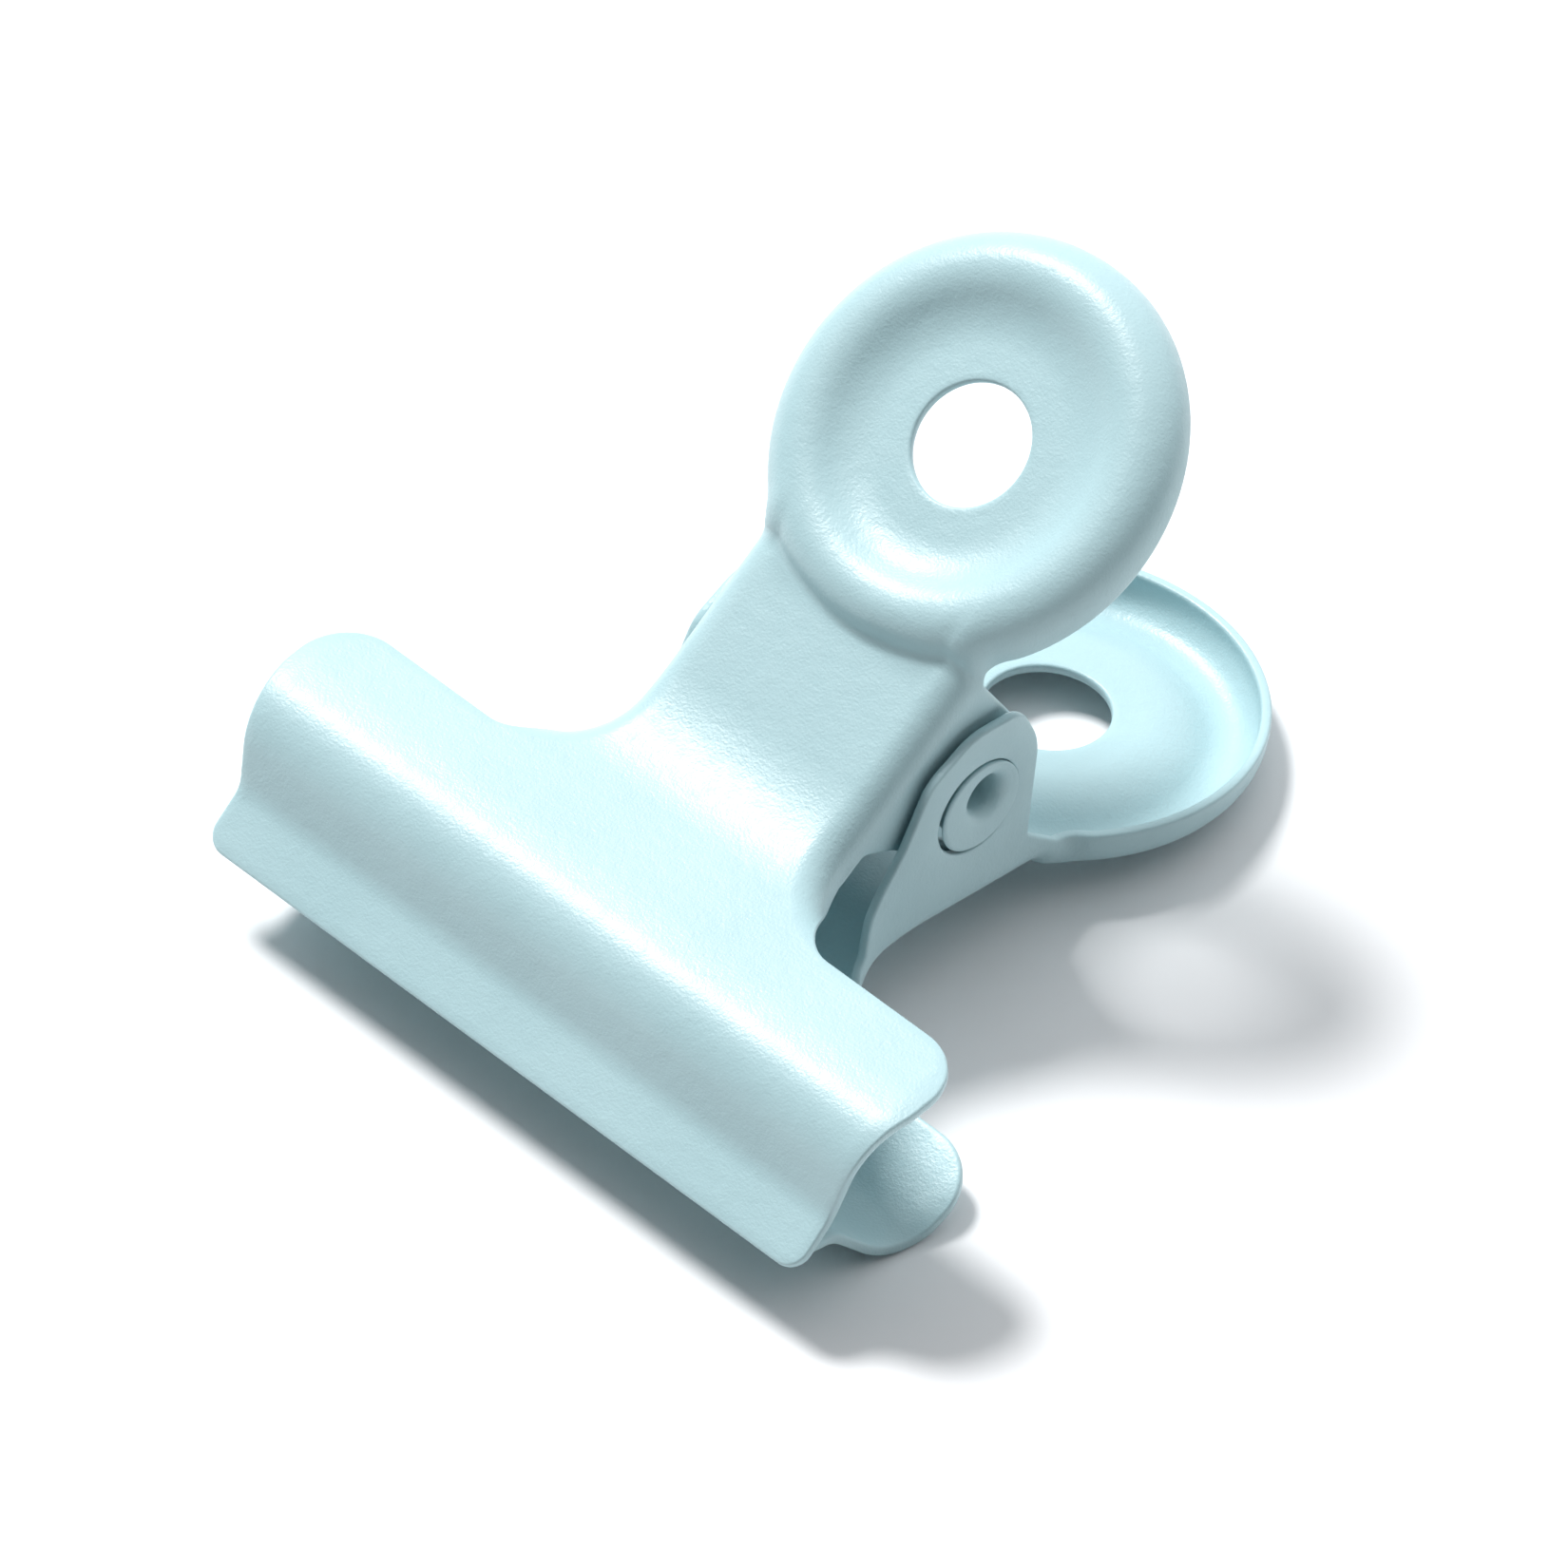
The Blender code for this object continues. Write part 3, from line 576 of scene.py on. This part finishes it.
def add_thickness(shape):
    """Turn an open surface, which is a sheet's outer face, into a closed sheet with rounded cut edges."""
    bmesh.ops.recalc_face_normals(shape, faces=shape.faces)
    shape.normal_update()
    outer_faces = list(shape.faces)
    borders = [edge.link_loops[0] for edge in shape.edges if edge.is_boundary]
    normals = {vert: vert.normal.copy() for vert in shape.verts}
    outward = {}
    for loop in borders:
        ends = (loop.vert, loop.link_loop_next.vert)
        side = (ends[1].co - ends[0].co).normalized().cross(loop.face.normal)
        for vert in ends:
            outward[vert] = outward.get(vert, Vector()) + side
    inner = {vert: shape.verts.new(vert.co - normal * SHEET) for vert, normal in normals.items()}
    for face in outer_faces:
        shape.faces.new([inner[vert] for vert in reversed(face.verts)])
    edge_round = {}
    for vert, way in outward.items():
        turns = [math.pi * k / EDGE_STEPS for k in range(1, EDGE_STEPS)]
        places = [vert.co + way.normalized() * EDGE_ROUND * math.sqrt(math.sin(t))
                  - normals[vert] * SHEET * (1 - math.cos(t)) / 2 for t in turns]
        edge_round[vert] = [vert, *(shape.verts.new(place) for place in places), inner[vert]]
    for loop in borders:
        here = edge_round[loop.vert]
        there = edge_round[loop.link_loop_next.vert]
        for a, b, c, d in zip(here, here[1:], there[1:], there):
            shape.faces.new([a, b, c, d])


def clip_to_world(frame):
    """Turns clip coordinates into the frame's; the lower handle's outer face tells how far the clip tilts."""
    mounts = {mount["name"]: mount for mount in frame["record"]["mounts"]}
    tilt = HANDLE_SLOPE - math.asin(-mounts["lower_finger_face"]["axis"][1])
    return Matrix.Translation(frame["joints"][0]["pos_m"]) @ Matrix.Rotation(tilt, 4, "X")


def add_piece(name, data, material):
    """An object for a piece's mesh, with its material and smooth shading."""
    item = bpy.data.objects.new(name, data)
    bpy.context.scene.collection.objects.link(item)
    data.materials.append(material)
    data.shade_smooth()
    return item


def make_plate(name, node, body, plate, material, to_world, upside_down):
    """One whole plate: its half face mirrored, thickened and put in its place."""
    shape = plate.face()
    if upside_down:
        bmesh.ops.scale(shape, vec=(1, 1, -1), verts=shape.verts)
        bmesh.ops.reverse_faces(shape, faces=shape.faces)
    whole = shape.verts[:] + shape.edges[:] + shape.faces[:]
    bmesh.ops.mirror(shape, geom=whole, axis="X", merge_dist=TINY)
    add_thickness(shape)
    shape.transform(to_world)
    data = bpy.data.meshes.new(name)
    shape.to_mesh(data)
    shape.free()
    item = add_piece(name, data, material)
    even = item.modifiers.new("face_normals", "WEIGHTED_NORMAL")
    even.weight = FLAT_FACE_WEIGHT
    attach(item, body)
    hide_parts(node)


def flare_profile():
    """Half of the rivet's section as (radius, distance from the middle), from the shank to the bore."""
    begin = FLARE_FACE - FLARE_DEPTH - FLARE_RUN_OUT
    length = FLARE_FACE - FLARE_LIP - begin
    spread = FLARE_RADIUS - SHANK_RADIUS
    shares = [k / FLARE_STEPS for k in range(FLARE_STEPS + 1)]
    points = [(SHANK_RADIUS, 0.0)]
    points += [(SHANK_RADIUS + spread * share ** 2, begin + length * share) for share in shares]
    lip = (FLARE_RADIUS - FLARE_LIP, FLARE_FACE - FLARE_LIP)
    points += [(lip[0] + FLARE_LIP * math.cos(t), lip[1] + FLARE_LIP * math.sin(t))
               for t in (QUARTER_TURN * k / LIP_STEPS for k in range(1, LIP_STEPS + 1))]
    mouth = (BORE_RADIUS + MOUTH_ROUND, FLARE_FACE - MOUTH_ROUND - MOUTH_SUNK)
    points += [(mouth[0] - MOUTH_ROUND * math.sin(t), mouth[1] + MOUTH_ROUND * math.cos(t))
               for t in (QUARTER_TURN * share for share in shares)]
    return points + [(BORE_RADIUS, 0.0)]


def make_rivet(material, to_world):
    """The hollow rivet: its section turned about the hinge axis."""
    half = flare_profile()
    section = half[::-1] + [(radius, -x) for radius, x in half[1:-1]]
    shape = bmesh.new()
    verts = [shape.verts.new((x, radius, 0.0)) for radius, x in section]
    edges = [shape.edges.new((a, b)) for a, b in zip(verts, verts[1:] + verts[:1])]
    bmesh.ops.spin(shape, geom=verts + edges, cent=(0, 0, 0), axis=(1, 0, 0), angle=math.tau,
                   steps=TUBE_STEPS, use_merge=True)
    for vert in shape.verts:
        across = math.hypot(vert.co.y, vert.co.z)
        if across < SHANK_RADIUS - TINY or abs(vert.co.x) > FLARE_FACE - FLARE_DEPTH:
            share = min(1.0, max(0.0, (FLARE_RADIUS - across) / (FLARE_RADIUS - BORE_RADIUS - MOUTH_ROUND)))
            vert.co += Vector((0.0, *MOUTH_OFFSET)) * share
    bmesh.ops.recalc_face_normals(shape, faces=shape.faces)
    shape.transform(to_world)
    data = bpy.data.meshes.new("painted_rivet")
    shape.to_mesh(data)
    shape.free()
    item = add_piece("painted_rivet", data, material)
    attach(item, "lower_half")
    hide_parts("hinge_tube")


def leg_angle():
    """Direction of a spring leg from the middle plane, so that its end lies under the face of a handle."""
    clearance = SHEET + WIRE / 2 + SPRING_GAP
    height_at_pivot = HANDLE_HEIGHT_AT_EYE - (EYE_ALONG - PIVOT_ALONG) * math.tan(HANDLE_SLOPE)
    pivot_depth = height_at_pivot * math.cos(HANDLE_SLOPE)
    return HANDLE_SLOPE + math.asin((pivot_depth - clearance - COIL_RADIUS) / LEG_REACH)


def spring_leg(x, side):
    """Points along a leg, from the coil's top (side 1) or underside (side -1) out towards a handle."""
    lean = leg_angle()
    along = Vector((0.0, math.cos(lean), math.sin(lean) * side))
    foot = Vector((x, -math.sin(lean) * COIL_RADIUS, math.cos(lean) * COIL_RADIUS * side))
    return [foot + along * (LEG_REACH * k / LEG_STEPS) for k in range(LEG_STEPS + 1)]


def spring_line():
    """Centre line of the spring wire, from the end of one leg round the coil to the end of the other."""
    half_length = COIL_PITCH * COIL_TURNS / 2
    sweep = math.tau * COIL_TURNS - 2 * (QUARTER_TURN + leg_angle())
    start = -(QUARTER_TURN + leg_angle())
    count = round(sweep / math.tau * COIL_STEPS_PER_TURN)
    coil = []
    for i in range(1, count):
        angle = start - sweep * i / count
        x = 2 * half_length * (i / count - 0.5)
        coil.append(Vector((x, math.cos(angle) * COIL_RADIUS, math.sin(angle) * COIL_RADIUS)))
    return spring_leg(-half_length, -1)[::-1] + coil + spring_leg(half_length, 1)


def make_spring(material, to_world):
    """The torsion spring: one wire from the end of one leg, round its coil, to the end of the other leg."""
    curve = bpy.data.curves.new("spring_line", "CURVE")
    curve.dimensions = "3D"
    curve.bevel_depth = WIRE / 2
    curve.bevel_resolution = WIRE_SIDES // 4
    curve.use_fill_caps = True
    points = spring_line()
    spline = curve.splines.new("POLY")
    spline.points.add(len(points) - 1)
    for target, point in zip(spline.points, points):
        target.co = (*(to_world @ point), 1.0)
    source = bpy.data.objects.new("spring_line", curve)
    data = bpy.data.meshes.new_from_object(source)
    data.name = "spring_wire"
    bpy.data.objects.remove(source)
    item = add_piece("spring_wire", data, material)
    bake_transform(item)
    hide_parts("torsion_spring", "torsion_spring_upper_leg")


class Nodes:
    """Short names for building a material's node tree."""

    def __init__(self, name):
        self.material = bpy.data.materials.new(name)
        self.material.use_nodes = True
        self.tree = self.material.node_tree
        self.shader = self.tree.nodes["Principled BSDF"]

    def add(self, kind, **settings):
        """A node, with its settings and with values or links for its input sockets, by name."""
        node = self.tree.nodes.new(kind)
        for key, value in settings.items():
            if hasattr(node, key):
                setattr(node, key, value)
            else:
                self.put(node.inputs[key.replace("_", " ")], value)
        return node

    def put(self, socket, value):
        if isinstance(value, bpy.types.NodeSocket):
            self.tree.links.new(value, socket)
        else:
            socket.default_value = value

    def noise(self, place, scale, detail=2.0):
        node = self.add("ShaderNodeTexNoise", Vector=place, Scale=scale, Detail=detail)
        return node.outputs["Fac"]

    def ramp(self, value, source, target):
        """The value taken from a source range to a target range."""
        node = self.add("ShaderNodeMapRange", Value=value)
        for socket, number in zip(list(node.inputs)[1:5], (*source, *target)):
            socket.default_value = number
        return node.outputs["Result"]

    def mix(self, share, first, second):
        """A colour between two, either of which may come from another node."""
        node = self.add("ShaderNodeMix", data_type="RGBA")
        for socket, value in ((0, share), (6, first), (7, second)):
            self.put(node.inputs[socket], value)
        return node.outputs[2]

    def bump(self, height, strength, distance):
        node = self.add("ShaderNodeBump", Strength=strength, Distance=distance, Height=height)
        self.put(self.shader.inputs["Normal"], node.outputs["Normal"])


def paint_material():
    """Satin pale blue paint: fine orange peel, a soft change of tone and a few dark specks of dust."""
    nodes = Nodes("satin_pale_blue")
    place = nodes.add("ShaderNodeTexCoord").outputs["Object"]
    grain = nodes.noise(place, PAINT_GRAIN)
    peel = nodes.noise(place, PAINT_PEEL, 3.0)
    cloud = nodes.noise(place, PAINT_CLOUDS, 3.0)
    tone = nodes.mix(nodes.ramp(cloud, NOISE_RANGE, (0.0, 1.0)), PAINT_DEEP, PAINT_LIGHT)
    specks = nodes.add("ShaderNodeTexVoronoi", Vector=place, Scale=DUST)
    spot = nodes.add("ShaderNodeMath", operation="MULTIPLY")
    nodes.put(spot.inputs[0], nodes.ramp(specks.outputs["Color"], DUST_SHARE, (0.0, 1.0)))
    nodes.put(spot.inputs[1], nodes.ramp(specks.outputs["Distance"], DUST_SIZE, (1.0, 0.0)))
    nodes.put(nodes.shader.inputs["Base Color"], nodes.mix(spot.outputs[0], tone, SPECK))
    nodes.put(nodes.shader.inputs["Roughness"], nodes.ramp(peel, NOISE_RANGE, PAINT_ROUGHNESS))
    height = nodes.add("ShaderNodeMath", operation="MULTIPLY_ADD")
    for socket, value in zip(height.inputs, (grain, GRAIN_SHARE, peel)):
        nodes.put(socket, value)
    nodes.bump(height.outputs[0], *PAINT_BUMP)
    return nodes.material


def steel_material():
    """Bright drawn spring wire with faint draw marks and uneven shine."""
    nodes = Nodes("drawn_spring_steel")
    place = nodes.add("ShaderNodeTexCoord").outputs["Object"]
    stretched = nodes.add("ShaderNodeMapping", Vector=place)
    stretched.inputs["Scale"].default_value = MARK_STRETCH
    marks = nodes.noise(stretched.outputs["Vector"], DRAW_MARKS, 4.0)
    cloud = nodes.noise(place, STEEL_CLOUDS, 3.0)
    tone = nodes.mix(nodes.ramp(cloud, NOISE_RANGE, (0.0, 1.0)), STEEL_DARK, STEEL_LIGHT)
    nodes.put(nodes.shader.inputs["Base Color"], tone)
    nodes.shader.inputs["Metallic"].default_value = 1.0
    nodes.put(nodes.shader.inputs["Roughness"], nodes.ramp(marks, NOISE_RANGE, STEEL_ROUGHNESS))
    nodes.bump(marks, *STEEL_BUMP)
    return nodes.material


def make_floor():
    """A pale matt floor, slightly mottled like paper."""
    nodes = Nodes("pale_floor")
    place = nodes.add("ShaderNodeTexCoord").outputs["Object"]
    fibre = nodes.noise(place, PAPER_FIBRE, 3.0)
    nodes.shader.inputs["Base Color"].default_value = FLOOR_WHITE
    nodes.put(nodes.shader.inputs["Roughness"], nodes.ramp(fibre, NOISE_RANGE, FLOOR_ROUGHNESS))
    nodes.shader.inputs["Specular IOR Level"].default_value = 0.2
    nodes.bump(fibre, *FLOOR_BUMP)
    shape = bmesh.new()
    bmesh.ops.create_grid(shape, x_segments=1, y_segments=1, size=FLOOR_SIZE / 2)
    data = bpy.data.meshes.new("floor")
    shape.to_mesh(data)
    shape.free()
    data.materials.append(nodes.material)
    floor = bpy.data.objects.new("floor", data)
    bpy.context.scene.collection.objects.link(floor)
    floor.location.z = -FLOOR_SUNK


def make_light():
    """A soft key from the left and a surround that is bright overhead and dim towards the horizon."""
    key = bpy.data.lights.new("key", "SUN")
    key.energy = KEY_STRENGTH
    key.angle = KEY_ANGLE
    item = bpy.data.objects.new("key", key)
    item.rotation_euler = KEY_DIRECTION.to_track_quat("Z", "Y").to_euler()
    bpy.context.scene.collection.objects.link(item)
    world = bpy.data.worlds.new("studio")
    world.use_nodes = True
    tree = world.node_tree
    surround = tree.nodes["Background"]
    surround.inputs["Color"].default_value = SKY_TINT
    way = tree.nodes.new("ShaderNodeTexCoord")
    facing = tree.nodes.new("ShaderNodeVectorMath")
    facing.operation = "DOT_PRODUCT"
    facing.inputs[1].default_value = SKY_AXIS.normalized()
    tree.links.new(way.outputs["Generated"], facing.inputs[0])
    brightness = tree.nodes.new("ShaderNodeMapRange")
    brightness.interpolation_type = "SMOOTHSTEP"
    brightness.inputs["From Min"].default_value = SKY_DARK_FROM
    brightness.inputs["To Min"].default_value = SKY_LOW
    brightness.inputs["To Max"].default_value = SKY_HIGH
    tree.links.new(facing.outputs["Value"], brightness.inputs["Value"])
    tree.links.new(brightness.outputs["Result"], surround.inputs["Strength"])
    bpy.context.scene.world = world
    bpy.context.scene.view_settings.view_transform = "Standard"


def make_camera():
    """A long lens at the photograph's viewing angle."""
    data = bpy.data.cameras.new("camera")
    data.sensor_width = SENSOR_WIDTH
    data.lens = SENSOR_WIDTH * CAMERA_DISTANCE / VIEW_WIDTH
    data.clip_start = CAMERA_DISTANCE / 10
    data.clip_end = CAMERA_DISTANCE * 10
    turn = Matrix.Rotation(CAMERA_AZIMUTH, 4, "Z")
    turn @= Matrix.Rotation(QUARTER_TURN - CAMERA_ELEVATION, 4, "X")
    turn @= Matrix.Rotation(CAMERA_ROLL, 4, "Z")
    item = bpy.data.objects.new("camera", data)
    item.matrix_world = Matrix.Translation(CAMERA_AIM) @ turn @ Matrix.Translation((0, 0, CAMERA_DISTANCE))
    bpy.context.scene.collection.objects.link(item)
    bpy.context.scene.camera = item


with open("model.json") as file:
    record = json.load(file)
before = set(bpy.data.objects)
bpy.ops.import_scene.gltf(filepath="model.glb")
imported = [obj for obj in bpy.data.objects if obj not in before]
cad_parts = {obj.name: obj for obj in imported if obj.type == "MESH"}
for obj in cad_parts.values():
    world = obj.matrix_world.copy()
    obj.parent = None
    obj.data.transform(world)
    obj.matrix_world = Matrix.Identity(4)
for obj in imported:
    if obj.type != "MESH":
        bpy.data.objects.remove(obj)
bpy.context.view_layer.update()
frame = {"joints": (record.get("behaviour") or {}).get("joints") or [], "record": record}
to_world = clip_to_world(frame)
paint = paint_material()
upper = Plate(UPPER_HALF_WIDTH, UPPER_JAW_HALF_WIDTH, 0.0, UPPER_EAR, UPPER_PIVOT_HOLE)
lower = Plate(LOWER_HALF_WIDTH, LOWER_JAW_HALF_WIDTH, LOWER_JAW_SET_BACK, LOWER_EAR, LOWER_PIVOT_HOLE)
make_plate("painted_upper_plate", "upper_plate", "upper_half", upper, paint, to_world, False)
make_plate("painted_lower_plate", "lower_plate", "lower_half", lower, paint, to_world, True)
make_rivet(paint, to_world)
make_spring(steel_material(), to_world)
make_floor()
make_light()
make_camera()
